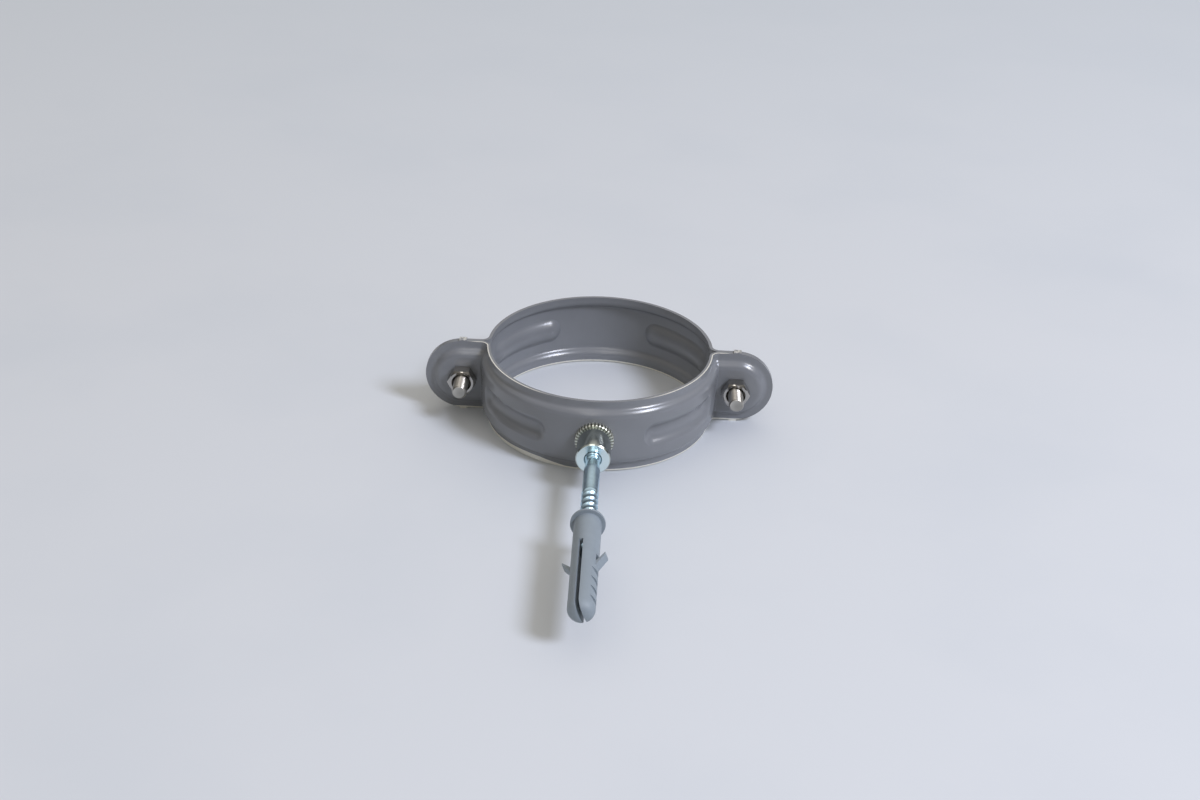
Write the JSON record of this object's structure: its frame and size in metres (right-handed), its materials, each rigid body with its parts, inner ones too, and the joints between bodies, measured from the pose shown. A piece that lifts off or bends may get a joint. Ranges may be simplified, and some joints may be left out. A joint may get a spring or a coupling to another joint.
{
  "type": "downpipe bracket",
  "caption": "Two-piece pressed steel pipe clamp for a round downpipe, bolted at both ears, on a hanger screw with a nylon wall plug.",
  "frame": {"origin": "on the pipe's axis at half the band's width, where the screw's axis crosses it", "axes": "+Z along the pipe, +X towards the clamp bolt that the picture shows on the right, -Y along the screw towards the wall"},
  "size_m": [0.139, 0.2035, 0.0312],
  "materials": {
    "painted_steel": "satin",
    "yellow_zinc_steel": "bright",
    "blue_zinc_steel": "bright",
    "grey_nylon": "satin",
    "stainless_steel": "bright"
  },
  "bodies": {
    "front": {"front_clamp_half": "painted_steel", "threaded_boss": "yellow_zinc_steel"},
    "rear": {"rear_clamp_half": "painted_steel", "clamp_bolt_left": "stainless_steel", "clamp_bolt_right": "stainless_steel"},
    "left_nut": {"clamp_nut_left": "stainless_steel"},
    "right_nut": {"clamp_nut_right": "stainless_steel"},
    "screw": {"hanger_screw": "blue_zinc_steel", "wall_plug": "grey_nylon"}
  },
  "joints": [
    {"name": "clamp_opening", "type": "slide", "parent": "front", "child": "rear", "axis": [0, 1, 0], "range_m": [0, 0.0075]},
    {"name": "left_nut_turn", "type": "hinge", "parent": "front", "child": "left_nut", "pos_m": [-0.0545, -0.006, 0], "axis": [0, -1, 0], "range_deg": [0, 2701]},
    {"name": "right_nut_turn", "type": "hinge", "parent": "front", "child": "right_nut", "pos_m": [0.0545, -0.006, 0], "axis": [0, -1, 0], "range_deg": [0, 2701]},
    {"name": "screw_turn", "type": "hinge", "parent": "front", "child": "screw", "pos_m": [0, -0.06, 0], "axis": [0, -1, 0], "range_deg": [0, 2160]}
  ],
  "couplings": [
    {"joint": "left_nut_turn", "follows": "clamp_opening", "rad_per_m": 6283.2},
    {"joint": "right_nut_turn", "follows": "clamp_opening", "rad_per_m": 6283.2}
  ]
}
